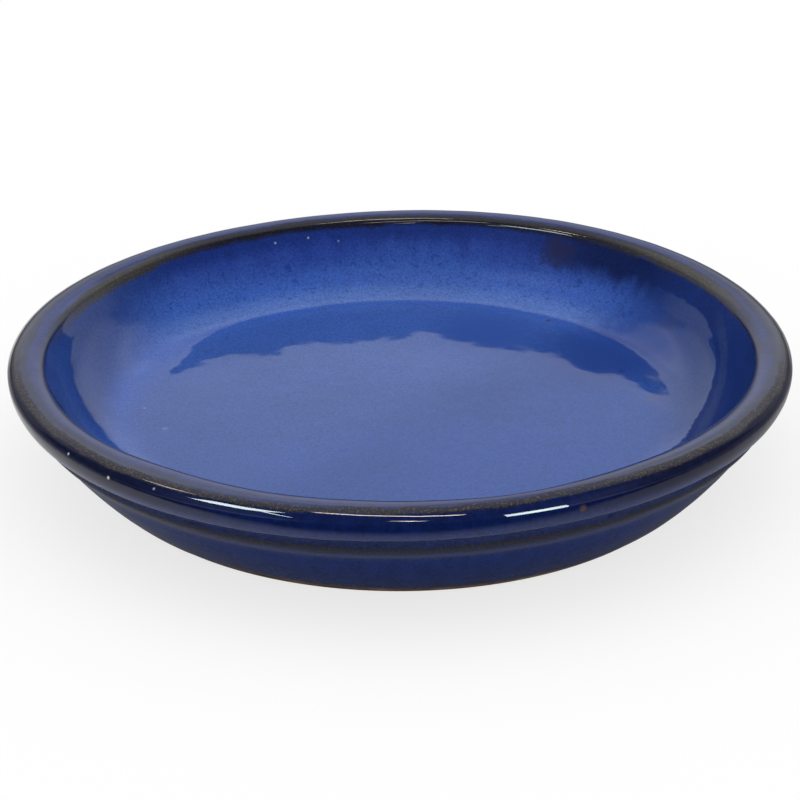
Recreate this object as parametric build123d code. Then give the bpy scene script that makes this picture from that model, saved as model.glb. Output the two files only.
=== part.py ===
from build123d import *
import os
from math import cos, radians, sin, tan

# Glazed stoneware plant saucer. Millimetres, +Z up, origin at the middle of the foot, on the table.

# Overall size over the glaze
overall_diameter = 304.8
overall_height = 49.1
glaze_thickness = 0.7

# Rolled rim, measured on the clay from its widest radius and from its top
roll_width = 13.2
crest_inset = 6.4
widest_drop = 4.0
inner_edge_drop = 2.5
inner_edge_radius = 2.5

# Outside of the wall, measured the same way
cove_inset = 7.7
cove_drop = 12.5
cove_radius = 1.2
cove_cut_angle = -35.0
bead_inset = 6.8
bead_drop = 16.7
bead_radius = 2.0
groove_inset = 12.0
groove_drop = 21.9
groove_radius = 4.0
wall_bulge = 1.2

# Foot ring, the recess inside it and the bare clay left above the table
foot_inset = 35.6
foot_ring_width = 10.0
foot_recess = 8.0
foot_edge_radius = 1.2
bare_foot_height = 3.4

# Inside of the dish
floor_height = 18.1
well_radius = 25.7
wall_slope = 62.0

# Places on the clay that follow from the sizes above
rim_radius = overall_diameter / 2 - glaze_thickness
rim_top = overall_height - glaze_thickness
inner_edge = Vector(rim_radius - roll_width, rim_top - inner_edge_drop)
cove = Vector(rim_radius - cove_inset, rim_top - cove_drop)
bead = Vector(rim_radius - bead_inset, rim_top - bead_drop)
groove = Vector(rim_radius - groove_inset, rim_top - groove_drop)
foot_edge = Vector(rim_radius - foot_inset, 0)
foot_inner_edge = Vector(foot_edge.X - foot_ring_width, 0)


def inside_lines(coat, lip):
    # Flat floor, round corner and straight wall, from the axis up to the rim's inner edge
    corner = well_radius - coat
    slope = radians(wall_slope)
    floor = floor_height + coat
    wall_height = lip.Y - floor - corner * (1 - cos(slope))
    floor_radius = lip.X - wall_height / tan(slope) - corner * sin(slope)
    flat = Line((0, floor), (floor_radius, floor))
    well = JernArc(flat @ 1, (1, 0), corner, wall_slope)
    return [flat, well, Line(well @ 1, lip)]


def rim_lines(coat, lip, under):
    # Egg-shaped roll from the rim's inner edge, over its top, to the cove below it
    crest = rim_radius - crest_inset
    widest = rim_top - widest_drop
    inner = EllipticalCenterArc((crest, lip.Y), crest - lip.X, rim_top + coat - lip.Y, 90, arc_size=90)
    outer = EllipticalCenterArc((crest, widest), crest_inset + coat, widest_drop + coat, 0, arc_size=90)
    lower_width = rim_radius + coat - under.X
    lower = EllipticalCenterArc((under.X, widest), lower_width, widest - under.Y, -90, arc_size=90)
    return [inner, outer, lower]


def outside_lines(under, ridge, hollow, toe):
    # Soft bead below the roll, the groove below that and the bulged wall down to the foot
    return [Polyline(under, ridge, hollow), SagittaArc(toe, hollow, -wall_bulge)]


def section(coat):
    # Half of the saucer cut upright, X outward and Y up, with a coat over all but its underside
    lip = inner_edge - Vector(coat, 0)
    under = cove + Vector(coat / 2, -coat)
    ridge = bead + Vector(coat, 0)
    hollow = groove + Vector(coat, -coat) * cos(radians(45))
    toe = foot_edge + Vector(coat, 0)
    outside = outside_lines(under, ridge, hollow, toe)
    underside = Polyline(
        toe,
        foot_inner_edge,
        foot_inner_edge + Vector(0, foot_recess),
        (0, foot_recess),
        (0, floor_height + coat),
    )
    face = make_face(inside_lines(coat, lip) + rim_lines(coat, lip, under) + outside + [underside])
    soft_corners = [
        (lip, inner_edge_radius),
        (under, cove_radius),
        (ridge, bead_radius),
        (hollow, groove_radius),
        (toe, foot_edge_radius),
        (foot_inner_edge, foot_edge_radius),
    ]
    for corner, radius in soft_corners:
        face = fillet(face.vertices().sort_by_distance(corner)[0], radius)
    return face


def glaze_sections(clay):
    reach = overall_diameter
    bare = Pos(0, bare_foot_height - reach) * Rectangle(2 * reach, 2 * reach)
    coat = section(glaze_thickness) - clay - bare

    # The rim's coat starts square to the inside wall and ends across the middle of the cove
    slope = radians(wall_slope)
    cove_cut = radians(cove_cut_angle)
    rim_zone = make_face(
        Polyline(
            inner_edge,
            inner_edge + Vector(-sin(slope), cos(slope)) * reach,
            (2 * reach, 2 * reach),
            cove + Vector(cos(cove_cut), sin(cove_cut)) * reach,
            cove,
            close=True,
        )
    )
    inside, outside = (coat - rim_zone).faces().sort_by(Axis.X)
    return {"inside_glaze": inside, "rim_glaze": coat & rim_zone, "outside_glaze": outside}


def turned(face):
    # The section stood upright and swept once round the saucer's axis
    return revolve(Plane.XZ * face, Axis.Z)


def main():
    os.makedirs("parts", exist_ok=True)
    clay = section(0)
    for name, face in {"stoneware_body": clay, **glaze_sections(clay)}.items():
        export_step(turned(face), f"parts/{name}.step")


main()
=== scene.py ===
import math
import bpy
from mathutils import Matrix, Quaternion, Vector, noise


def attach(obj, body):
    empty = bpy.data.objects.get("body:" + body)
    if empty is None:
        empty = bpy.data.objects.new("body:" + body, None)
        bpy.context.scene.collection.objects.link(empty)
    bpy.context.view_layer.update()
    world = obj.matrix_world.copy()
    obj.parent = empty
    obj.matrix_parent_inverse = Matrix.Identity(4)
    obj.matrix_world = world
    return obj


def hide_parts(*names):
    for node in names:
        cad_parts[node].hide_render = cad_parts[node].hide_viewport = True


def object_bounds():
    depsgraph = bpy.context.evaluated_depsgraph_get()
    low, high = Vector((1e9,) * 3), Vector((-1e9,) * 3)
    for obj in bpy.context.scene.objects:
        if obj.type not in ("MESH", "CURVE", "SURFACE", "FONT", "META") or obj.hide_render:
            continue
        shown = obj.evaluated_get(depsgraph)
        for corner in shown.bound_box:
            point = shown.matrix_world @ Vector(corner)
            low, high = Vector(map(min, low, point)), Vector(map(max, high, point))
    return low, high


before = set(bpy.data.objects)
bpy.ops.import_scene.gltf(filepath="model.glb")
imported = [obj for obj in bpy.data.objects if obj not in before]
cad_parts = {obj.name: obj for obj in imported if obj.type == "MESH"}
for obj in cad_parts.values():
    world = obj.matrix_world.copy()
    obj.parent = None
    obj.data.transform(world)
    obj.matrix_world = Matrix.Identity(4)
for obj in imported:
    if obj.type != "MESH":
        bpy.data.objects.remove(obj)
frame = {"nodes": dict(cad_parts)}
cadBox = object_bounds()
print("frame loaded:", ", ".join(frame["nodes"]))

# What the potter threw, in metres; the rim's radius and height come from the frame
potterShape = {
    "glaze": 0.0007,
    "rollWidth": 0.0132, "crestInset": 0.0064, "widestDrop": 0.0040, "lipDrop": 0.0025,
    "coveInset": 0.0077, "coveDrop": 0.0125,
    "beadInset": 0.0068, "beadDrop": 0.0167,
    "grooveInset": 0.0120, "grooveDrop": 0.0219,
    "wallBulge": 0.0012,
    "footInset": 0.0356, "footRing": 0.0100, "footRecess": 0.0080, "bareFoot": 0.0034,
    "floorHeight": 0.0181, "wellRadius": 0.0257, "wallSlope": 62.0,
    "softPasses": 8,        # rounds off the corners of the outline
    "beadPasses": 16,       # and the bead and the hollows beside it some more
    "segments": 360,
    "lean": 0.0048,         # one side of the rim stands a little higher
    "oval": ((2, 0.00041, 0.00059), (3, -0.00040, -0.00004)),     # how far the rim is out of round
    "ripple": ((2, 0.00005, -0.00038), (3, -0.00066, 0.00016)),   # and its top out of level
    # Where the roll is fuller or slimmer on its inner side: turn, spread in degrees, how much
    "rollSwell": ((235, 15, 0.0018), (259, 11, 0.0006), (286, 10, -0.0013)),
    "swellStart": 0.132, "swellLift": 0.27,     # where along the outline it starts, and its upward share
}
rimRadius = (cadBox[1][0] - cadBox[0][0]) / 2 - potterShape["glaze"]
rimTop = cadBox[1][2] - potterShape["glaze"]


# Outline helpers: each gives points (radius, height), without the last one
def straight(a, b, count):
    return [(a[0] + (b[0] - a[0]) * i / count, a[1] + (b[1] - a[1]) * i / count) for i in range(count)]


def bulged(a, b, bulge, count):
    length = math.dist(a, b)
    outward = (-(b[1] - a[1]) / length, (b[0] - a[0]) / length)
    points = []
    for i, (radius, height) in enumerate(straight(a, b, count)):
        swell = bulge * 4 * (i / count) * (1 - i / count)
        points.append((radius + outward[0] * swell, height + outward[1] * swell))
    return points


def ellipsePart(centre, across, upward, fromDeg, toDeg, count):
    points = []
    for i in range(count):
        turn = math.radians(fromDeg + (toDeg - fromDeg) * i / count)
        points.append((centre[0] + across * math.cos(turn), centre[1] + upward * math.sin(turn)))
    return points


def softened(points, passes, first, last):
    for _ in range(passes):
        old = list(points)
        for i in range(first, last):
            points[i] = tuple((old[i - 1][k] + 2 * old[i][k] + old[i + 1][k]) / 4 for k in (0, 1))
    return points


def throwOutline(shape, coat):
    # From the middle of the floor, up the wall, over the roll and down to the foot
    lip = (rimRadius - shape["rollWidth"] - coat, rimTop - shape["lipDrop"])
    cove = (rimRadius - shape["coveInset"] + coat / 2, rimTop - shape["coveDrop"] - coat)
    bead = (rimRadius - shape["beadInset"] + coat, rimTop - shape["beadDrop"])
    groove = (rimRadius - shape["grooveInset"] + coat * 0.7, rimTop - shape["grooveDrop"] - coat * 0.7)
    toe = (rimRadius - shape["footInset"] + coat, 0.0)
    floor = shape["floorHeight"] + coat
    corner = shape["wellRadius"] - coat
    slope = math.radians(shape["wallSlope"])
    wallHeight = lip[1] - floor - corner * (1 - math.cos(slope))
    floorRadius = lip[0] - wallHeight / math.tan(slope) - corner * math.sin(slope)
    crest = rimRadius - shape["crestInset"]
    widest = rimTop - shape["widestDrop"]

    points = straight((0.0, floor), (floorRadius, floor), 72)
    points += ellipsePart((floorRadius, floor + corner), corner, corner, -90, shape["wallSlope"] - 90, 40)
    wallFoot = (floorRadius + corner * math.sin(slope), floor + corner * (1 - math.cos(slope)))
    points += straight(wallFoot, lip, 32)
    marks = {"lip": len(points)}
    points += ellipsePart((crest, lip[1]), crest - lip[0], rimTop + coat - lip[1], 180, 90, 20)
    marks["crest"] = len(points)
    points += ellipsePart((crest, widest), shape["crestInset"] + coat, shape["widestDrop"] + coat, 90, 0, 24)
    marks["widest"] = len(points)
    points += ellipsePart((cove[0], widest), rimRadius + coat - cove[0], widest - cove[1], 0, -90, 30)
    marks["cove"] = len(points)
    points += straight(cove, bead, 10)
    marks["bead"] = len(points)
    points += straight(bead, groove, 18)
    marks["groove"] = len(points)
    points += bulged(groove, toe, shape["wallBulge"], 60) + [toe]
    softened(points, shape["softPasses"], marks["lip"] - 16, len(points) - 1)
    softened(points, shape["beadPasses"], marks["widest"] + 16, marks["groove"] + 10)
    return points, marks


glazeLine, outlineMarks = throwOutline(potterShape, potterShape["glaze"])
clayLine, _ = throwOutline(potterShape, 0.0)
glazeEnd = next(i for i in range(outlineMarks["groove"] + 1, len(glazeLine))
                if glazeLine[i][1] < potterShape["bareFoot"])

# Distance along the glazed outline from the middle of the floor, which the glazes are painted by
alongLine = [0.0]
for previous, point in zip(glazeLine, glazeLine[1:]):
    alongLine.append(alongLine[-1] + math.dist(previous, point))
alongMarks = {name: alongLine[i] for name, i in outlineMarks.items()}
alongMarks["end"] = alongLine[glazeEnd]
print("outline thrown, marks at mm:", {k: round(v * 1000, 1) for k, v in alongMarks.items()})

# How unevenly the glaze lies: heights and pitches of its swells, ripples and throwing rings, the waves of its
# lower edge, and the turn in degrees where that edge stops short and shows more clay
glazeSkin = {
    "swell": 0.00006, "swellPitch": 55, "ripple": 0.00005, "ripplePitch": 150,
    "rings": 0.000006, "ringPitch": 1300.0, "ringSway": 12,
    "edgeWave": 0.0011, "edgePitch": 2.5, "bareTurn": 246, "bareSpread": 13, "bareRise": 0.0012,
}

# What the thrower's hand left inside: a rounder corner from the left to the front, between turns in degrees,
# and a floor that tilts a little up or down in places along a curved line toward the back
insideHand = {
    "roundCorner": 0.038, "roundFrom": (120, 152), "roundTo": (350, 322),
    "rounder": 0.8, "rounderFrom": (200, 236),
    "dipLine": (0.0733, -0.0617, -4.93), "dipReach": 0.021, "dipEdge": (0.112, 0.102),
    # place across, spread, tilt
    "dips": ((-0.081, 0.012, 0.018), (-0.053, 0.005, -0.010), (-0.043, 0.006, 0.008), (0.010, 0.007, 0.034),
             (0.035, 0.007, -0.015), (0.060, 0.007, -0.008), (0.077, 0.009, -0.026), (0.100, 0.008, -0.022)),
}


def smooth(low, high, value):
    share = min(max((value - low) / (high - low), 0.0), 1.0)
    return share * share * (3 - 2 * share)


def humps(rows, value):
    # rows are (middle, spread, size)
    return sum(size * math.exp(-((value - middle) / spread) ** 2) for middle, spread, size in rows)


def wellRise(radius, corner):
    # Height of the inside above its floor, for a corner of this radius between floor and wall
    slope = math.radians(potterShape["wallSlope"])
    coat = potterShape["glaze"]
    lipRadius = rimRadius - potterShape["rollWidth"] - coat
    depth = rimTop - potterShape["lipDrop"] - potterShape["floorHeight"] - coat
    foot = lipRadius - (depth - corner * (1 - math.cos(slope))) / math.tan(slope)
    start = foot - corner * math.sin(slope)
    if radius < foot:
        return corner - math.sqrt(corner ** 2 - max(radius - start, 0.0) ** 2)
    return depth - (lipRadius - min(radius, lipRadius)) * math.tan(slope)


def settle(radius, turn):
    degrees = math.degrees(turn) % 360
    share = smooth(*insideHand["roundFrom"], degrees) * smooth(*insideHand["roundTo"], degrees)
    share *= 1 + insideHand["rounder"] * smooth(*insideHand["rounderFrom"], degrees)
    corner = potterShape["wellRadius"] - potterShape["glaze"]
    lift = share * (wellRise(radius, insideHand["roundCorner"]) - wellRise(radius, corner)) if share else 0.0
    x, y = radius * math.cos(turn), radius * math.sin(turn)
    base, slant, bend = insideHand["dipLine"]
    away = y - base - slant * x - bend * x * x
    calm = smooth(*insideHand["dipEdge"], radius) * math.exp(-(away / insideHand["dipReach"]) ** 2)
    return lift + humps(insideHand["dips"], x) * away * calm


def rollSwell(along, turn):
    share = smooth(potterShape["swellStart"], alongMarks["lip"], along)
    share *= smooth(alongMarks["crest"] + 0.001, alongMarks["lip"] + 0.002, along)
    return share * humps(potterShape["rollSwell"], math.degrees(turn)) if share else 0.0


def waver(lobes, turn):
    return sum(c * math.cos(count * turn) + s * math.sin(count * turn) for count, c, s in lobes)


def handThrown(radius, height, turn):
    # The rim leans and wavers a little, and the foot stays flat
    lift = height / cadBox[1][2]
    radius += lift * waver(potterShape["oval"], turn) * radius / cadBox[1][0]
    x, y = radius * math.cos(turn), radius * math.sin(turn)
    unlevel = waver(potterShape["ripple"], turn) * (radius / cadBox[1][0]) ** 2
    return Vector((x, y, height + lift * (potterShape["lean"] * x + unlevel)))


def skinLift(where, along):
    lift = noise.noise(where * glazeSkin["swellPitch"]) * glazeSkin["swell"]
    lift += noise.noise(where * glazeSkin["ripplePitch"]) * glazeSkin["ripple"]
    if along > alongMarks["groove"]:
        sway = 3 * noise.noise(where * glazeSkin["ringSway"])
        lift += math.sin(along * glazeSkin["ringPitch"] + sway) * glazeSkin["rings"]
    return lift


def edgeSlide(turn, along):
    # The glaze runs down to a wavy line above the foot
    share = max(0.0, (along - alongMarks["groove"]) / (alongMarks["end"] - alongMarks["groove"]))
    wave = noise.noise(Vector((math.cos(turn), math.sin(turn), 0.3)) * glazeSkin["edgePitch"])
    short = math.exp(-((math.degrees(turn) - glazeSkin["bareTurn"]) / glazeSkin["bareSpread"]) ** 2)
    return share ** 4 * (glazeSkin["edgeWave"] * wave - glazeSkin["bareRise"] * short)


wallRun = Vector(clayLine[glazeEnd + 2]) - Vector(clayLine[glazeEnd - 8])
wallRun.normalize()


def lathe(name, path, skinned, slot, node, material):
    # path holds (radius, height, along), where a radius of 0 is a pole on the axis; as many of its first
    # points as skinned says get ripples
    segments = potterShape["segments"]
    verts, alongs, rings = [], [], []
    for i, (radius, height, along) in enumerate(path):
        before, after = path[max(i - 1, 0)], path[max(min(i + 1, skinned - 1), 0)]
        slant = math.dist(before[:2], after[:2]) or 1.0
        outward = (-(after[1] - before[1]) / slant, (after[0] - before[0]) / slant)
        ring = []
        for j in range(1 if radius < 1e-6 else segments):
            turn = 2 * math.pi * j / segments
            lift = 0.0
            if i < skinned:
                lift = skinLift(Vector((radius * math.cos(turn), radius * math.sin(turn), height)), along)
            slide = edgeSlide(turn, along) if skinned else 0.0      # the clay's foot stays flat
            settled = settle(radius, turn) if along < alongMarks["lip"] else 0.0
            fuller = rollSwell(along, turn)
            settled += potterShape["swellLift"] * fuller
            ring.append(len(verts))
            verts.append(handThrown(radius + lift * outward[0] + slide * wallRun[0] - fuller,
                                    height + lift * outward[1] + slide * wallRun[1] + settled, turn))
            alongs.append(along)
        rings.append(ring)
    faces = []
    for ring, following in zip(rings, rings[1:] + (rings[:1] if len(rings[0]) > 1 else [])):
        for j in range(segments):
            k = (j + 1) % segments
            if len(ring) == 1:
                faces.append((ring[0], following[j], following[k]))
            elif len(following) == 1:
                faces.append((ring[j], following[0], ring[k]))
            else:
                faces.append((ring[j], following[j], following[k], ring[k]))
    mesh = bpy.data.meshes.new(name)
    mesh.from_pydata(verts, [], faces)
    mesh.validate()
    mesh.polygons.foreach_set("use_smooth", [True] * len(mesh.polygons))
    mesh.set_sharp_from_angle(angle=math.radians(50))
    mesh.attributes.new("along", "FLOAT", "POINT").data.foreach_set("value", alongs)
    mesh.materials.append(material)
    piece = bpy.data.objects.new(name, mesh)
    bpy.context.collection.objects.link(piece)
    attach(piece, "root")
    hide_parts(node)
    print("thrown", name, len(verts), "points")
    return piece


def coatPath(first, last, roundEnd=0):
    # Out along the glaze's surface and back along the clay below it, with fewer points there
    outer = []
    for i in range(first, last + 1):
        past = max(0, i - (last - roundEnd))
        swell = math.sqrt(1 - (past / roundEnd) ** 2) if past else 1.0
        swell = max(swell, 0.15)
        outer.append((clayLine[i][0] + (glazeLine[i][0] - clayLine[i][0]) * swell,
                      clayLine[i][1] + (glazeLine[i][1] - clayLine[i][1]) * swell, alongLine[i]))
    inner = [(*clayLine[i], alongLine[i]) for i in [last, *range(last - 1, first, -3), first]]
    return outer + inner, len(outer)


def clayPath():
    shape = potterShape
    toe = clayLine[-1]
    heel = toe[0] - shape["footRing"]
    recess = shape["footRecess"]
    corners = [(toe[0], 0.0), (heel, 0.0), (heel, recess), (0.0, recess)]
    under = []
    for a, b, count in zip(corners, corners[1:], (25, 20, 60)):
        under += straight(a, b, count)
    upper = list(range(0, glazeEnd - 8, 3)) + list(range(glazeEnd - 8, len(clayLine) - 1))
    body = [clayLine[i] for i in upper] + under + [corners[-1]]
    softened(body, 4, len(body) - len(under) - 8, len(body) - 30)
    alongs = [alongLine[i] for i in upper] + [alongLine[-1]] * (len(under) + 1)
    return [(*point, along) for point, along in zip(body, alongs)], 0


# Node helpers
def setInputs(tree, node, inputs):
    for name, value in inputs.items():
        if isinstance(value, bpy.types.NodeSocket):
            tree.links.new(value, node.inputs[name])
        else:
            node.inputs[name].default_value = value
    return node


def addNode(tree, kind, inputs, **attributes):
    node = tree.nodes.new("ShaderNode" + kind)
    for name, value in attributes.items():
        setattr(node, name, value)
    return setInputs(tree, node, inputs)


def calc(tree, operation, a, b=0.0):
    return addNode(tree, "Math", {0: a, 1: b}, operation=operation).outputs[0]


def both(tree, *masks):
    # The place that all the masks share
    shared = masks[0]
    for mask in masks[1:]:
        shared = calc(tree, "MULTIPLY", shared, mask)
    return shared


def ease(tree, value, low, high, toLow=0.0, toHigh=1.0):
    inputs = {"Value": value, "From Min": low, "From Max": high, "To Min": toLow, "To Max": toHigh}
    return addNode(tree, "MapRange", inputs, interpolation_type="SMOOTHSTEP").outputs["Result"]


def tint(tree, amount, a, b, blend="MIX"):
    a, b = ((*c, 1.0) if isinstance(c, tuple) else c for c in (a, b))
    return addNode(tree, "Mix", {0: amount, 6: a, 7: b}, data_type="RGBA", blend_type=blend).outputs[2]


def cloud(tree, where, scale, detail=2.0, distortion=0.0):
    inputs = {"Vector": where, "Scale": scale, "Detail": detail, "Distortion": distortion}
    return addNode(tree, "TexNoise", inputs).outputs["Fac"]


def objectPlace(tree):
    return addNode(tree, "TexCoord", {}).outputs["Object"]


def alongValue(tree):
    return addNode(tree, "Attribute", {}, attribute_name="along").outputs["Fac"]


def newGroup(name, inputs, outputs):
    # inputs are (label, kind, value), outputs (label, kind)
    group = bpy.data.node_groups.new(name, "ShaderNodeTree")
    for label, kind, value in inputs:
        socket = group.interface.new_socket(label, in_out="INPUT", socket_type="NodeSocket" + kind)
        socket.default_value = value
    for label, kind in outputs:
        group.interface.new_socket(label, in_out="OUTPUT", socket_type="NodeSocket" + kind)
    return group, group.nodes.new("NodeGroupInput").outputs, group.nodes.new("NodeGroupOutput")


def useGroup(tree, group, **inputs):
    node = tree.nodes.new("ShaderNodeGroup")
    node.node_tree = group
    return setInputs(tree, node, inputs).outputs


def makeMottle():
    # Fine grain and its flecks, worm-like mottles, slow clouds and streaks that run down the slope
    names = ("Grain", "Flecks", "Mottle", "Clouds", "Streaks")
    group, _, out = newGroup("glazeMottle", (), [(name, "Float") for name in names])
    where = objectPlace(group)
    flat = addNode(group, "VectorMath", {0: where, 1: (1, 1, 0)}, operation="MULTIPLY").outputs[0]
    around = addNode(group, "VectorMath", {0: flat}, operation="NORMALIZE").outputs[0]
    around = addNode(group, "VectorMath", {0: around, "Scale": 24.0}, operation="SCALE").outputs[0]
    drop = addNode(group, "CombineXYZ", {"Z": calc(group, "MULTIPLY", alongValue(group), 45.0)}).outputs[0]
    run = addNode(group, "VectorMath", {0: around, 1: drop}, operation="ADD").outputs[0]
    grain = cloud(group, where, 1300.0, 2.0)
    setInputs(group, out, {
        "Grain": grain,
        "Flecks": ease(group, grain, 0.5, 0.68),
        "Mottle": cloud(group, where, 380.0, 2.0, 1.2),
        "Clouds": cloud(group, where, 18.0, 3.0),
        "Streaks": cloud(group, run, 1.0, 3.0),
    })
    return group


def makeSpeckle():
    # Lightens and darkens a colour by a grain
    inputs = (("Colour", "Color", (0.5, 0.5, 0.5, 1.0)), ("Grain", "Float", 0.5),
              ("Low", "Float", 0.8), ("High", "Float", 1.2))
    group, given, out = newGroup("speckle", inputs, (("Colour", "Color"),))
    shade = ease(group, given["Grain"], 0.3, 0.7, given["Low"], given["High"])
    grey = addNode(group, "CombineColor", {0: shade, 1: shade, 2: shade}).outputs[0]
    setInputs(group, out, {"Colour": tint(group, 1.0, given["Colour"], grey, "MULTIPLY")})
    return group


def raggedBand(tree, centre, width, ragged):
    # A band along the outline, with a ragged edge
    where = objectPlace(tree)
    slow = calc(tree, "SUBTRACT", cloud(tree, where, 70.0, 3.0), 0.5)
    quick = calc(tree, "SUBTRACT", cloud(tree, where, 520.0, 3.0), 0.5)
    shift = calc(tree, "ADD", calc(tree, "MULTIPLY", slow, 4.0), calc(tree, "MULTIPLY", quick, 1.5))
    shift = calc(tree, "MULTIPLY", shift, ragged)
    away = calc(tree, "SUBTRACT", calc(tree, "ADD", alongValue(tree), shift), centre)
    return ease(tree, calc(tree, "ABSOLUTE", away), width, calc(tree, "MULTIPLY", width, 0.35))


def makeBreakAndSheen():
    # A ragged band: where glaze runs thin over an edge, and the painted reflection along the outside's groove
    inputs = (("Centre", "Float", 0.0), ("Width", "Float", 0.002), ("Ragged", "Float", 0.001))
    group, given, out = newGroup("breakAndSheenBand", inputs, (("Mask", "Float"),))
    setInputs(group, out, {"Mask": raggedBand(group, given["Centre"], given["Width"], given["Ragged"])})
    return group


lipBreak = {
    "centre": alongMarks["lip"] + 0.0028, "width": 0.0043, "ragged": 0.0008, "fade": (-0.02, 0.07),
    "leftDrop": 0.0025, "leftFrom": (-0.09, -0.13), "sideFrom": (0.075, 0.125),
    "colour": (0.008, 0.009, 0.019), "grit": (0.024, 0.021, 0.020),
    "sideColour": (0.046, 0.046, 0.044), "sideGrit": (0.080, 0.074, 0.058),
}


def makeLipRing(look):
    # The ring at the roll's inner edge: lower inside the dish at the left, gone in front, nearly black at the
    # back and olive grey at both sides
    inputs, outputs = (("Flecks", "Float", 0.0),), (("Mask", "Float"), ("Colour", "Color"))
    group, given, out = newGroup("lipRing", inputs, outputs)
    place = addNode(group, "SeparateXYZ", {"Vector": objectPlace(group)}).outputs
    centre = ease(group, place["X"], *look["leftFrom"], look["centre"], look["centre"] - look["leftDrop"])
    ring = raggedBand(group, centre, look["width"], look["ragged"])
    side = ease(group, calc(group, "ABSOLUTE", place["X"]), *look["sideFrom"])
    dark = tint(group, given["Flecks"], look["colour"], look["grit"])
    olive = tint(group, given["Flecks"], look["sideColour"], look["sideGrit"])
    setInputs(group, out, {
        "Mask": both(group, ring, ease(group, place["Y"], *look["fade"])),
        "Colour": tint(group, side, dark, olive),
    })
    return group


def makeSpot():
    # A patch with a ragged edge at one place on the glaze
    inputs = (("Place", "Vector", (0, 0, 0)), ("Size", "Float", 0.01), ("Ragged", "Float", 0.002))
    group, given, out = newGroup("glazeSpot", inputs, (("Mask", "Float"),))
    where = objectPlace(group)
    away = addNode(group, "VectorMath", {0: where, 1: given["Place"]}, operation="DISTANCE").outputs["Value"]
    shift = calc(group, "SUBTRACT", cloud(group, where, 220.0, 3.0), 0.5)
    shift = calc(group, "MULTIPLY", shift, given["Ragged"])
    away = calc(group, "ADD", away, calc(group, "MULTIPLY", shift, 2.0))
    inner = calc(group, "MULTIPLY", given["Size"], 0.2)
    setInputs(group, out, {"Mask": ease(group, away, given["Size"], inner)})
    return group


def makePinholes():
    inputs = (("Spacing", "Float", 0.011), ("Share", "Float", 0.2))
    group, given, out = newGroup("pinholes", inputs, (("Mask", "Float"),))
    scale = calc(group, "DIVIDE", 1.0, given["Spacing"])
    cells = addNode(group, "TexVoronoi", {"Vector": objectPlace(group), "Scale": scale})
    dot = ease(group, cells.outputs["Distance"], 0.035, 0.02)
    pick = addNode(group, "SeparateColor", {"Color": cells.outputs["Color"]}).outputs[0]
    chosen = calc(group, "LESS_THAN", pick, given["Share"])
    setInputs(group, out, {"Mask": both(group, dot, chosen)})
    return group


def makeSkin():
    # Height of the fine unevenness of fired glaze
    group, _, out = newGroup("glazeSkin", (), (("Height", "Float"),))
    where = objectPlace(group)
    fine = calc(group, "MULTIPLY", cloud(group, where, 850.0, 2.0), 0.2)
    setInputs(group, out, {"Height": calc(group, "ADD", cloud(group, where, 240.0, 1.0), fine)})
    return group


mottleGroup = makeMottle()
speckleGroup = makeSpeckle()
breakAndSheenGroup = makeBreakAndSheen()
lipGroup = makeLipRing(lipBreak)
spotGroup = makeSpot()
pinholeGroup = makePinholes()
skinGroup = makeSkin()
print("glaze effects mixed")


def newMaterial(name):
    material = bpy.data.materials.new(name)
    material.use_nodes = True
    return material, material.node_tree, material.node_tree.nodes["Principled BSDF"]


def glazeNormal(tree, height, depth):
    return addNode(tree, "Bump", {"Height": height, "Distance": depth, "Strength": 1.0}).outputs["Normal"]


def speckled(tree, colour, grain, low, high):
    return useGroup(tree, speckleGroup, Colour=colour, Grain=grain, Low=low, High=high)["Colour"]


def bandMask(tree, band):
    inputs = {"Centre": band["centre"], "Width": band["width"], "Ragged": band["ragged"]}
    return useGroup(tree, breakAndSheenGroup, **inputs)["Mask"]


def thinGlazeAndSheen(tree, mottle, band):
    # The colour of glaze that runs thin, with its flecks, and of the painted reflection along the groove
    return tint(tree, mottle["Flecks"], band["colour"], band["grit"])


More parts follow.
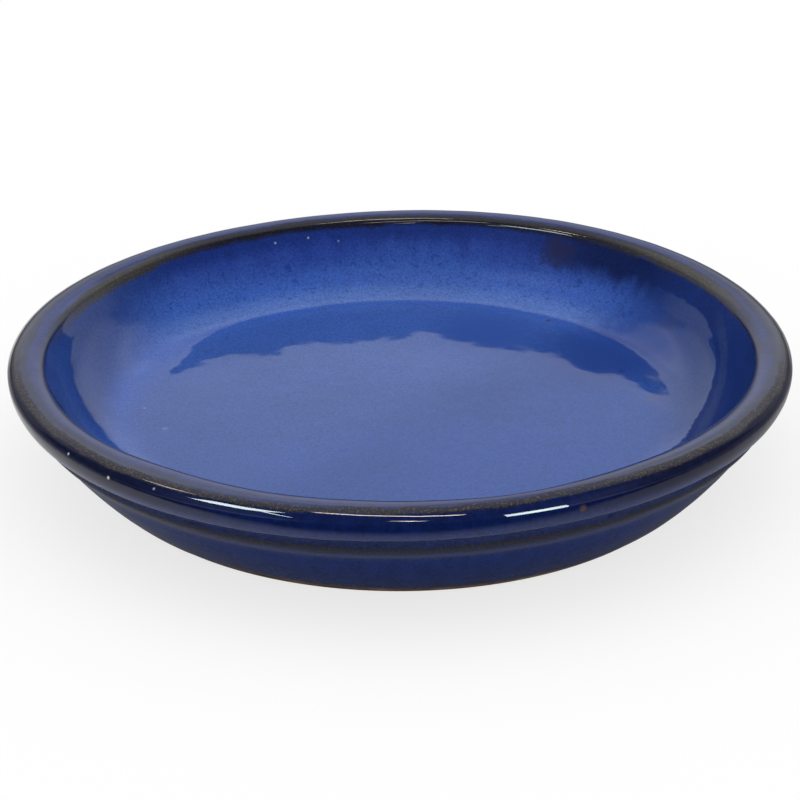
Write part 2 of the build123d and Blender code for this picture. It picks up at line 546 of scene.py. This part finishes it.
insideLook = {
    "floor": (0.023, 0.072, 0.295), "floorBack": (0.037, 0.091, 0.332), "well": (0.038, 0.104, 0.420),
    "paintedSheen": (0.078, 0.155, 0.445), "upper": (0.019, 0.050, 0.275), "lipShade": (0.009, 0.030, 0.185),
    "paintedDarkReflection": (0.008, 0.026, 0.145), "paintedReflectionBand": (0.019, 0.040, 0.150),
    "mottle": (0.009, 0.032, 0.215), "mottleShare": (0.15, 0.6),
    "pinhole": (0.35, 0.40, 0.55), "pinSpacing": 0.011, "pinShare": 0.22,
    "shadow": (0.0045, 0.015, 0.088),
    "shadowPlace": (0.092, 0.099, 0.042), "shadowSize": 0.051, "shadowRagged": 0.01,
    "shine": 0.05, "coat": 0.75, "floorRough": 0.06, "backRough": 0.36, "bump": 0.00004,
    "grain": (0.82, 1.18), "clouds": (0.94, 1.06),      # the darkest and lightest that they make the colour
    "drip": 0.008, "sway": 0.026, "fieldDrip": 0.4,     # how far the edges of the fields run and waver
    # Where each field starts and is full, by distance along the outline
    "along": {
        "well": (0.100, 0.118), "sheenFrom": (0.1125, 0.1160), "sheenTo": (0.128, 0.118),
        "upper": (0.128, 0.146), "lipShade": (0.141, 0.149),
        "mottle": (0.108, 0.135), "shadow": (0.133, 0.142), "matt": (0.112, 0.1195),
        "field": (0.1135, 0.1425), "fieldSoft": (-0.0008, 0.0008),
        "bandFrom": (0.0022, 0.0046), "bandTo": (0.0100, 0.0076),
    },
    # And by place: X is to the right and Y to the back, and a slant leans the line between them
    "behindY": (0.045, 0.085), "behindSlant": 0.6, "behindLeft": (0.0, 0.02),
    "backSlant": 0.8, "backLeft": (-0.03, 0.03),
    "fieldRise": (-0.03, 0.06), "fieldX": (0.1010, 0.1055), "fieldY": (-0.060, -0.035),
    "bandY": (0.048, 0.030),
    # colour, X, along
    "sides": (((0.015, 0.046, 0.185), (0.086, 0.122), (0.098, 0.111)),
              ((0.020, 0.055, 0.225), (-0.090, -0.125), (0.108, 0.121))),
    "spotShare": 0.85,
    # place, size, ragged, colour
    "spots": (
        ((0.0683, 0.1164, 0.0409), 0.010, 0.006, (0.018, 0.020, 0.075)),
        ((0.1120, 0.0635, 0.0293), 0.009, 0.005, (0.042, 0.062, 0.175)),
        ((0.1040, 0.0330, 0.0190), 0.007, 0.003, (0.045, 0.078, 0.255)),
        ((0.1020, 0.0100, 0.0190), 0.007, 0.003, (0.045, 0.078, 0.255)),
        ((-0.1019, 0.0031, 0.0188), 0.0010, 0.0004, (0.15, 0.20, 0.42)),
        ((-0.0924, -0.0161, 0.0188), 0.0018, 0.0008, (0.11, 0.16, 0.40)),
        ((-0.0544, 0.1239, 0.0424), 0.0008, 0.0003, (0.35, 0.40, 0.55)),
        ((-0.0402, 0.1293, 0.0427), 0.0007, 0.0003, (0.35, 0.40, 0.55)),
        ((-0.0271, 0.1314, 0.0404), 0.0007, 0.0003, (0.30, 0.35, 0.52)),
        ((0.0630, 0.0908, 0.0191), 0.0016, 0.0006, (0.05, 0.05, 0.035)),
        ((0.0902, 0.0373, 0.0189), 0.0022, 0.0008, (0.008, 0.010, 0.030)),
        ((0.0350, 0.0780, 0.0190), 0.0330, 0.0060, (0.024, 0.068, 0.290)),
        ((0.0890, 0.0560, 0.0190), 0.0460, 0.0100, (0.014, 0.045, 0.232)),
    ),
}


def paintInside(look):
    material, tree, shader = newMaterial("insideGlaze")
    mottle = useGroup(tree, mottleGroup)
    along = alongValue(tree)
    place = addNode(tree, "SeparateXYZ", {"Vector": objectPlace(tree)}).outputs
    reach = look["along"]
    drip = calc(tree, "MULTIPLY", calc(tree, "SUBTRACT", mottle["Streaks"], 0.5), look["drip"])
    sway = calc(tree, "MULTIPLY", calc(tree, "SUBTRACT", mottle["Clouds"], 0.5), look["sway"])
    level = calc(tree, "ADD", along, calc(tree, "ADD", drip, sway))
    behind = calc(tree, "SUBTRACT", place["Y"], calc(tree, "MULTIPLY", place["X"], look["behindSlant"]))
    behind = both(tree, ease(tree, place["Y"], *look["behindY"]), ease(tree, behind, *look["behindLeft"]))
    backLeft = calc(tree, "SUBTRACT", calc(tree, "MULTIPLY", place["Y"], look["backSlant"]), place["X"])
    # From the floor up the wall
    colour = tint(tree, ease(tree, backLeft, *look["backLeft"]), look["floor"], look["floorBack"])
    colour = tint(tree, ease(tree, along, *reach["well"]), colour, look["well"])
    # A painted reflection of the backdrop: a lighter sheen low on the back wall
    paintedSheen = both(tree, ease(tree, along, *reach["sheenFrom"]), ease(tree, along, *reach["sheenTo"]), behind)
    colour = tint(tree, paintedSheen, colour, look["paintedSheen"])
    # Darker up the wall, and painted shade under the lip
    colour = tint(tree, ease(tree, level, *reach["upper"]), colour, look["upper"])
    dripped = calc(tree, "ADD", along, drip)
    colour = tint(tree, ease(tree, dripped, *reach["lipShade"]), colour, look["lipShade"])
    for sideColour, sideX, sideAlong in look["sides"]:
        side = both(tree, ease(tree, place["X"], *sideX), ease(tree, along, *sideAlong))
        colour = tint(tree, side, colour, sideColour)
    # A painted dark reflection at the upper right, its lower edge rising toward the back, with a lighter
    # painted reflection band in it
    lowEdge = ease(tree, place["Y"], *look["fieldRise"], *reach["field"])
    over = calc(tree, "ADD", along, calc(tree, "MULTIPLY", drip, look["fieldDrip"]))
    over = calc(tree, "SUBTRACT", over, lowEdge)
    field = both(tree, ease(tree, over, *reach["fieldSoft"]), ease(tree, place["X"], *look["fieldX"]),
                 ease(tree, place["Y"], *look["fieldY"]))
    band = both(tree, ease(tree, over, *reach["bandFrom"]), ease(tree, over, *reach["bandTo"]),
                ease(tree, place["Y"], *look["bandY"]))
    colour = tint(tree, field, colour, tint(tree, band, look["paintedDarkReflection"], look["paintedReflectionBand"]))
    # Mottles, a shadow under the lip, grain, the lip's ring, pinholes and single spots
    worms = ease(tree, along, *reach["mottle"], *look["mottleShare"])
    colour = tint(tree, both(tree, ease(tree, mottle["Mottle"], 0.5, 0.75), worms), colour, look["mottle"])
    dark = {"Place": look["shadowPlace"], "Size": look["shadowSize"], "Ragged": look["shadowRagged"]}
    dark = useGroup(tree, spotGroup, **dark)["Mask"]
    colour = tint(tree, both(tree, dark, ease(tree, level, *reach["shadow"])), colour, look["shadow"])
    colour = speckled(tree, colour, mottle["Grain"], *look["grain"])
    colour = speckled(tree, colour, mottle["Clouds"], *look["clouds"])
    ring = useGroup(tree, lipGroup, Flecks=mottle["Flecks"])
    colour = tint(tree, ring["Mask"], colour, ring["Colour"])
    pins = useGroup(tree, pinholeGroup, Spacing=look["pinSpacing"], Share=look["pinShare"])["Mask"]
    colour = tint(tree, pins, colour, look["pinhole"])
    for spotPlace, size, ragged, spotColour in look["spots"]:
        spot = useGroup(tree, spotGroup, Place=spotPlace, Size=size, Ragged=ragged)["Mask"]
        colour = tint(tree, calc(tree, "MULTIPLY", spot, look["spotShare"]), colour, spotColour)
    # The back wall and the painted dark reflection are matter than the floor
    matt = calc(tree, "MAXIMUM", both(tree, behind, ease(tree, along, *reach["matt"])), field)
    setInputs(tree, shader, {
        "Base Color": colour,
        "Specular IOR Level": look["shine"],
        "Coat Weight": ease(tree, matt, 0.0, 1.0, look["coat"], 0.0),
        "Coat Roughness": look["floorRough"],
        "Roughness": ease(tree, matt, 0.0, 1.0, look["floorRough"], look["backRough"]),
        "Normal": glazeNormal(tree, useGroup(tree, skinGroup)["Height"], look["bump"]),
    })
    return material


rimLook = {
    "crest": (0.010, 0.027, 0.150), "top": (0.011, 0.020, 0.074), "face": (0.004, 0.011, 0.066),
    "faceSide": (0.0035, 0.0055, 0.026), "under": (0.010, 0.022, 0.105), "grain": (0.8, 1.2),
    "blueLine": {"centre": alongMarks["lip"] + 0.0052, "width": 0.0034, "ragged": 0.0012,
                 "clouds": (0.30, 0.48)},
    "blueBack": (0.045, 0.110), "blueFront": (-0.115, -0.140), "blueFrontShare": 0.6,
    "gold": {"centre": alongMarks["crest"] + 0.0034, "width": 0.0024, "ragged": 0.0008,
             "colour": (0.014, 0.015, 0.028), "grit": (0.085, 0.064, 0.024),
             "front": (0.04, -0.06), "share": 0.9},
    "faceFrom": (alongMarks["crest"] + 0.0037, alongMarks["crest"] + 0.0047), "faceWave": 0.0010,
    "faceTo": (alongMarks["widest"] + 0.0015, alongMarks["widest"] + 0.0050), "faceSideX": (0.045, 0.105),
    "pinhole": (0.30, 0.33, 0.40), "pinSpacing": 0.009, "pinShare": 0.3, "pinBack": (0.0, 0.05),
    # A dull dark line under the shoulder, toward both sides: along the outline, then X and Y
    "dullFrom": (alongMarks["crest"] + 0.0034, alongMarks["crest"] + 0.0049),
    "dullTo": (alongMarks["crest"] + 0.0098, alongMarks["crest"] + 0.0078),
    "dullX": (0.06, 0.10), "dullY": (0.0, -0.03),
    # turn in degrees, distance along, size, ragged, colour
    "spots": (
        (294.2, 0.1702, 0.0016, 0.0010, (0.07, 0.04, 0.02)),
        # the next three pale dots are painted glints
        (218.0, 0.1671, 0.0008, 0.0004, (0.40, 0.42, 0.50)),
        (227.0, 0.1681, 0.0009, 0.0004, (0.60, 0.56, 0.44)),
        (235.0, 0.1661, 0.0008, 0.0004, (0.30, 0.30, 0.30)),
    ),
    "shine": 0.05, "rough": 0.05, "breakRough": 0.22, "bump": 0.000012,
    "coat": 1.0, "backCoat": 0.78, "coatBack": (0.0, 0.06),
    "dullCoat": 0.25, "breakCoat": 0.5, "coatRough": 0.02,
}


def placeOn(turn, distance):
    # The place on the glaze at this turn and distance along the outline
    nearest = min(range(len(alongLine)), key=lambda i: abs(alongLine[i] - distance))
    return handThrown(*glazeLine[nearest], math.radians(turn))


def paintRim(look):
    material, tree, shader = newMaterial("rimGlaze")
    mottle = useGroup(tree, mottleGroup)
    along = alongValue(tree)
    place = addNode(tree, "SeparateXYZ", {"Vector": objectPlace(tree)}).outputs
    aside = calc(tree, "ABSOLUTE", place["X"])
    # Blue all over at the back, bluish in front, and elsewhere only in patches along the crest
    line, band = look["blueLine"], look["gold"]
    patches = both(tree, bandMask(tree, line), ease(tree, mottle["Clouds"], *line["clouds"]))
    front = ease(tree, place["Y"], *look["blueFront"], 0.0, look["blueFrontShare"])
    ends = calc(tree, "MAXIMUM", ease(tree, place["Y"], *look["blueBack"]), front)
    colour = tint(tree, calc(tree, "MAXIMUM", patches, ends), look["top"], look["crest"])
    wave = calc(tree, "MULTIPLY", calc(tree, "SUBTRACT", mottle["Mottle"], 0.5), look["faceWave"])
    level = calc(tree, "ADD", along, wave)
    face = tint(tree, ease(tree, aside, *look["faceSideX"]), look["face"], look["faceSide"])
    colour = tint(tree, ease(tree, level, *look["faceFrom"]), colour, face)
    # Lighter under the roll: the glaze's colour with a painted reflection of the floor
    colour = tint(tree, ease(tree, along, *look["faceTo"]), colour, look["under"])
    colour = speckled(tree, colour, mottle["Mottle"], *look["grain"])
    # An orange spot in the glaze, and pale dots that are painted glints
    for turn, distance, size, ragged, spotColour in look["spots"]:
        spot = useGroup(tree, spotGroup, Place=placeOn(turn, distance), Size=size, Ragged=ragged)["Mask"]
        colour = tint(tree, spot, colour, spotColour)
    # Olive flecks on the shoulder at the front and sides, a ring at the lip, and pinholes at the back
    flecks = both(tree, bandMask(tree, band), ease(tree, place["Y"], *band["front"], 0.0, band["share"]))
    colour = tint(tree, flecks, colour, thinGlazeAndSheen(tree, mottle, band))
    ring = useGroup(tree, lipGroup, Flecks=mottle["Flecks"])
    colour = tint(tree, ring["Mask"], colour, ring["Colour"])
    thin = calc(tree, "MAXIMUM", flecks, ring["Mask"])
    pins = useGroup(tree, pinholeGroup, Spacing=look["pinSpacing"], Share=look["pinShare"])["Mask"]
    colour = tint(tree, both(tree, pins, ease(tree, place["Y"], *look["pinBack"])), colour, look["pinhole"])
    dull = both(tree, ease(tree, aside, *look["dullX"]), ease(tree, place["Y"], *look["dullY"]),
                ease(tree, level, *look["dullFrom"]), ease(tree, level, *look["dullTo"]))
    coat = ease(tree, place["Y"], *look["coatBack"], look["coat"], look["backCoat"])
    coat = ease(tree, dull, 0.0, 1.0, coat, look["dullCoat"])
    setInputs(tree, shader, {
        "Base Color": colour,
        "Specular IOR Level": look["shine"],
        "Coat Weight": ease(tree, thin, 0.0, 1.0, coat, look["breakCoat"]),
        "Coat Roughness": look["coatRough"],
        "Roughness": ease(tree, thin, 0.0, 1.0, look["rough"], look["breakRough"]),
        "Normal": glazeNormal(tree, useGroup(tree, skinGroup)["Height"], look["bump"]),
    })
    return material


outsideLook = {
    "cove": (0.022, 0.033, 0.108), "wall": (0.009, 0.024, 0.118), "foot": (0.014, 0.030, 0.120),
    "wallFrom": (alongMarks["groove"] - 0.002, alongMarks["groove"] + 0.004),
    "footFrom": (alongMarks["groove"] + 0.008, alongMarks["end"]),
    "mottle": (0.005, 0.013, 0.072), "mottleShare": 0.6, "grain": (0.82, 1.18), "streaks": (0.91, 1.10),
    "bands": (
        {"centre": alongMarks["bead"] + 0.0012, "width": 0.0034, "ragged": 0.0005,      # over the bead
         "colour": (0.019, 0.022, 0.042), "grit": (0.038, 0.034, 0.031)},
        {"centre": alongMarks["groove"] - 0.0016, "width": 0.0022, "ragged": 0.0003,    # along the groove, a painted reflection
         "colour": (0.036, 0.046, 0.110), "grit": (0.046, 0.056, 0.122)},
        {"centre": alongMarks["end"], "width": 0.0015, "ragged": 0.0004,                # at the lower edge
         "colour": (0.055, 0.060, 0.070), "grit": (0.085, 0.076, 0.062)},
    ),
    "shine": 0.08, "rough": (0.12, 0.17), "bump": 0.000014,
}


def paintOutside(look):
    material, tree, shader = newMaterial("outsideGlaze")
    mottle = useGroup(tree, mottleGroup)
    along = alongValue(tree)
    colour = tint(tree, ease(tree, along, *look["wallFrom"]), look["cove"], look["wall"])
    colour = tint(tree, ease(tree, along, *look["footFrom"]), colour, look["foot"])
    worms = ease(tree, mottle["Mottle"], 0.48, 0.75, 0.0, look["mottleShare"])
    colour = tint(tree, worms, colour, look["mottle"])
    colour = speckled(tree, colour, mottle["Grain"], *look["grain"])
    colour = speckled(tree, colour, mottle["Streaks"], *look["streaks"])
    # Glaze that runs thin over the bead and at the lower edge, and a painted reflection along the groove
    for band in look["bands"]:
        colour = tint(tree, bandMask(tree, band), colour, thinGlazeAndSheen(tree, mottle, band))
    setInputs(tree, shader, {
        "Base Color": colour,
        "Specular IOR Level": look["shine"],
        "Roughness": ease(tree, mottle["Clouds"], 0.3, 0.7, *look["rough"]),
        "Normal": glazeNormal(tree, useGroup(tree, skinGroup)["Height"], look["bump"]),
    })
    return material


clayLook = {
    "light": (0.29, 0.165, 0.075), "dark": (0.16, 0.092, 0.042), "speck": (0.05, 0.034, 0.022),
    "rough": (0.70, 0.86), "bump": 0.00012,
}


def paintClay(look):
    material, tree, shader = newMaterial("bareClay")
    where = objectPlace(tree)
    colour = tint(tree, ease(tree, cloud(tree, where, 60.0, 4.0), 0.35, 0.65), look["dark"], look["light"])
    grit = cloud(tree, where, 900.0, 3.0)
    colour = tint(tree, ease(tree, grit, 0.6, 0.72), colour, look["speck"])
    setInputs(tree, shader, {
        "Base Color": colour,
        "Roughness": ease(tree, grit, 0.3, 0.7, *look["rough"]),
        "Normal": glazeNormal(tree, grit, look["bump"]),
    })
    return material


insideGlaze = paintInside(insideLook)
rimGlaze = paintRim(rimLook)
outsideGlaze = paintOutside(outsideLook)
bareClay = paintClay(clayLook)
print("glazes and clay painted")

lip, cove = outlineMarks["lip"], outlineMarks["cove"]
lathe("inside_coat", *coatPath(0, lip), "inside_glaze", "inside_glaze", insideGlaze)
lathe("rim_coat", *coatPath(lip, cove), "rim_glaze", "rim_glaze", rimGlaze)
lathe("outside_coat", *coatPath(cove, glazeEnd, 4), "outside_glaze", "outside_glaze", outsideGlaze)
lathe("thrown_clay", *clayPath(), "stoneware", "stoneware_body", bareClay)

warmLight, coolLight = (1.0, 0.88, 0.76), (0.86, 1.0, 0.97)
studio = {
    "elevation": 24.33, "distance": 1.05, "roll": -0.290, "target": (-0.00049, 0.0, 0.02314),
    "focalPixels": 2653.9, "framePixels": 800, "sensor": 36.0,
    "floorSize": 12.0, "paper": 0.88, "glow": 0.74,
    "horizonLight": 0.70, "topLight": 1.35,     # soft light that falls on things, low and overhead
    # What the glaze mirrors: a bright backdrop, an overhead panel, dim walls at the sides and a dark room in
    # front, and a floor that is painted darker in reflections only
    "backLight": 0.65, "horizonGlow": 0.12, "panelLight": 0.40, "cornerLight": 0.35,
    "wallLight": 0.16, "sideGlow": 0.42, "frontLight": 0.04,
    "reflectedDarkY": (-0.150, -0.195), "tableDim": (0.25, 0.62), "tableSides": (-0.2, 0.2),
    # Where these start and are full: how far behind, to the side or up a look goes, with 1 straight that way
    "backShare": 0.47, "backEdge": (-0.06, 0.12), "backRise": (0.0, 0.30),
    "backBright": (0.42, 0.50, 1.15), "backFade": (0.54, 0.64, 0.60),   # the third is the light's change
    "wallSide": (0.40, 0.75), "wallRise": (0.15, 0.50), "glowSide": (0.35, 0.65), "glowFall": (0.36, 0.20),
    "panelAim": (0, 0.469, 0.883), "panelEdge": (0.90, 0.99),
    "cornerSide": (0.08, 0.22), "cornerRise": (0.48, 0.57), "cornerFall": (0.85, 0.72),
    # name: both ends, width, what it points at, brightness, colour, fan in degrees
    "lamps": {
        "front_tube": ((-0.285, -0.02, 1.16), (0.225, -0.67, 1.16), 0.05,
                       (0, -0.15, 0.05), 24.0, warmLight, 180),
        "back_tube": ((0.135, 0.385, 1.12), (-0.095, 0.40, 1.12), 0.04,
                      (0, 0.14, 0.05), 44.0, warmLight, 24),
        "short_tube": ((-0.098, -1.138, 0.934), (0.127, -1.272, 0.753), 0.05,
                       (0, -0.15, 0.05), 60.0, warmLight, 16),
        "side_tube": ((-0.60, 0.37, 0.985), (-0.566, 0.245, 1.059), 0.06,
                      (-0.082, -0.125, 0.047), 17.0, warmLight, 16),
        "corner_tube": ((-0.30, 0.24, 1.024), (-0.385, 0.31, 0.976), 0.04,
                        (0.069, 0.121, 0.048), 60.0, warmLight, 16),
        "left_window": ((-0.78, -0.16, 1.08), (-0.58, -0.46, 1.08), 0.30,
                        (-0.06, -0.135, 0.047), 18.0, coolLight, 180),
        "left_strip": ((-0.63, -0.50, 1.08), (-0.80, -1.25, 1.08), 0.035,
                       (0, 0, 0.05), 18.0, coolLight, 180),
        "right_window": ((0.140, -0.3445, 0.085), (0.209, -0.294, 0.085), 0.0945,
                         (0.046, -0.145, 0.046), 24.0, coolLight, 60),
    },
}


def setCamera():
    camera = bpy.data.cameras.new("camera")
    camera.sensor_width = studio["sensor"]
    camera.lens = camera.sensor_width * studio["focalPixels"] / studio["framePixels"]
    stand = bpy.data.objects.new("camera", camera)
    bpy.context.collection.objects.link(stand)
    tilt = math.radians(studio["elevation"])
    target = Vector(studio["target"])
    stand.location = target + studio["distance"] * Vector((0, -math.cos(tilt), math.sin(tilt)))
    aim = (target - stand.location).to_track_quat("-Z", "Y")
    stand.rotation_mode = "QUATERNION"
    stand.rotation_quaternion = aim @ Quaternion((0, 0, 1), math.radians(studio["roll"]))
    bpy.context.scene.camera = stand


def layFloor():
    half = studio["floorSize"] / 2
    mesh = bpy.data.meshes.new("studio_floor")
    corners = [(-half, -half, 0), (half, -half, 0), (half, half, 0), (-half, half, 0)]
    mesh.from_pydata(corners, [], [(0, 1, 2, 3)])
    floor = bpy.data.objects.new("studio_floor", mesh)
    bpy.context.collection.objects.link(floor)
    material = bpy.data.materials.new("studioPaper")
    material.use_nodes = True
    tree = material.node_tree
    tree.nodes.clear()
    paper = addNode(tree, "BsdfDiffuse", {"Color": (*[studio["paper"]] * 3, 1)}).outputs[0]
    dark = addNode(tree, "BsdfDiffuse", {"Color": (0, 0, 0, 1)}).outputs[0]
    white = addNode(tree, "Emission", {"Color": (1, 1, 1, 1), "Strength": 1.0}).outputs[0]
    rays = addNode(tree, "LightPath", {}).outputs
    place = addNode(tree, "SeparateXYZ", {"Vector": objectPlace(tree)}).outputs
    # In reflections only, the floor is painted darker, more so toward the right, and black in front of the
    # dish
    dim = ease(tree, place["X"], *studio["tableSides"], *studio["tableDim"])
    reflectedDark = both(tree, rays["Is Glossy Ray"], ease(tree, place["Y"], *studio["reflectedDarkY"], dim, 1.0))
    paper = addNode(tree, "MixShader", {0: reflectedDark, 1: paper, 2: dark}).outputs[0]
    seen = calc(tree, "MULTIPLY", rays["Is Camera Ray"], studio["glow"])
    paper = addNode(tree, "MixShader", {0: seen, 1: paper, 2: white}).outputs[0]
    addNode(tree, "OutputMaterial", {"Surface": paper})
    mesh.materials.append(material)


def hangLamp(name, start, end, width, aim, brightness, colour, fan):
    # Only mirrored in the glaze: the soft light of the room does the lighting
    start, end = Vector(start), Vector(end)
    middle = (start + end) / 2
    run = (end - start).normalized()
    back = middle - Vector(aim)
    back = (back - run * back.dot(run)).normalized()
    lamp = bpy.data.lights.new(name, "AREA")
    lamp.shape = "RECTANGLE"
    lamp.size, lamp.size_y = (end - start).length, width
    half = math.radians(fan / 2)
    grid = 1 - half / math.tan(half) if fan < 180 else 1.0      # a narrow fan would brighten the lamp
    lamp.energy = brightness * math.pi * lamp.size * width * grid
    lamp.color = colour
    lamp.spread = math.radians(fan)
    holder = bpy.data.objects.new(name, lamp)
    turned = Matrix((run, back.cross(run), back)).transposed().to_4x4()
    holder.matrix_world = Matrix.Translation(middle) @ turned
    holder.visible_diffuse = False
    holder.visible_camera = False
    bpy.context.collection.objects.link(holder)


def setWorld():
    world = bpy.data.worlds.new("studio")
    bpy.context.scene.world = world
    world.use_nodes = True
    tree = world.node_tree
    where = addNode(tree, "TexCoord", {}).outputs["Generated"]
    toward = addNode(tree, "SeparateXYZ", {"Vector": where}).outputs
    up, aside = toward["Z"], calc(tree, "ABSOLUTE", toward["X"])
    soft = ease(tree, up, 0.0, 1.0, studio["horizonLight"], studio["topLight"])
    # The backdrop fills a third of the way round
    level = addNode(tree, "CombineXYZ", {"X": toward["X"], "Y": toward["Y"]}).outputs[0]
    width = addNode(tree, "VectorMath", {0: level}, operation="LENGTH").outputs["Value"]
    back = calc(tree, "SUBTRACT", toward["Y"], calc(tree, "MULTIPLY", width, studio["backShare"]))
    back = ease(tree, back, *studio["backEdge"])
    drop = ease(tree, up, *studio["backRise"], studio["horizonGlow"], studio["backLight"])
    for low, high, change in (studio["backBright"], studio["backFade"]):
        drop = calc(tree, "MULTIPLY", drop, ease(tree, up, low, high, 1.0, change))
    # Walls and a low glow at the sides, the panel above, and a light in each upper corner of the backdrop
    wall = ease(tree, aside, *studio["wallSide"], 0.0, studio["wallLight"])
    wall = both(tree, wall, ease(tree, up, *studio["wallRise"]))
    glow = both(tree, ease(tree, aside, *studio["glowSide"]), ease(tree, up, *studio["glowFall"]))
    glow = calc(tree, "MULTIPLY", glow, studio["sideGlow"])
    aim = addNode(tree, "VectorMath", {0: where, 1: studio["panelAim"]}, operation="DOT_PRODUCT")
    panel = ease(tree, aim.outputs["Value"], *studio["panelEdge"], 0.0, studio["panelLight"])
    corners = both(tree, ease(tree, up, *studio["cornerRise"]), ease(tree, up, *studio["cornerFall"]), back,
                   ease(tree, aside, *studio["cornerSide"], 0.0, studio["cornerLight"]))
    room = ease(tree, back, 0.0, 1.0, calc(tree, "ADD", wall, studio["frontLight"]), drop)
    room = calc(tree, "ADD", calc(tree, "ADD", room, panel), corners)
    room = calc(tree, "MAXIMUM", room, glow)
    falls = addNode(tree, "LightPath", {}).outputs["Is Diffuse Ray"]
    strength = addNode(tree, "Mix", {0: falls, 2: room, 3: soft}).outputs[0]
    setInputs(tree, tree.nodes["Background"], {"Color": (1, 1, 1, 1), "Strength": strength})


setCamera()
layFloor()
setWorld()
for lampName, lampValues in studio["lamps"].items():
    hangLamp(lampName, *lampValues)
bpy.context.scene.view_settings.view_transform = "Standard"
print("studio set")
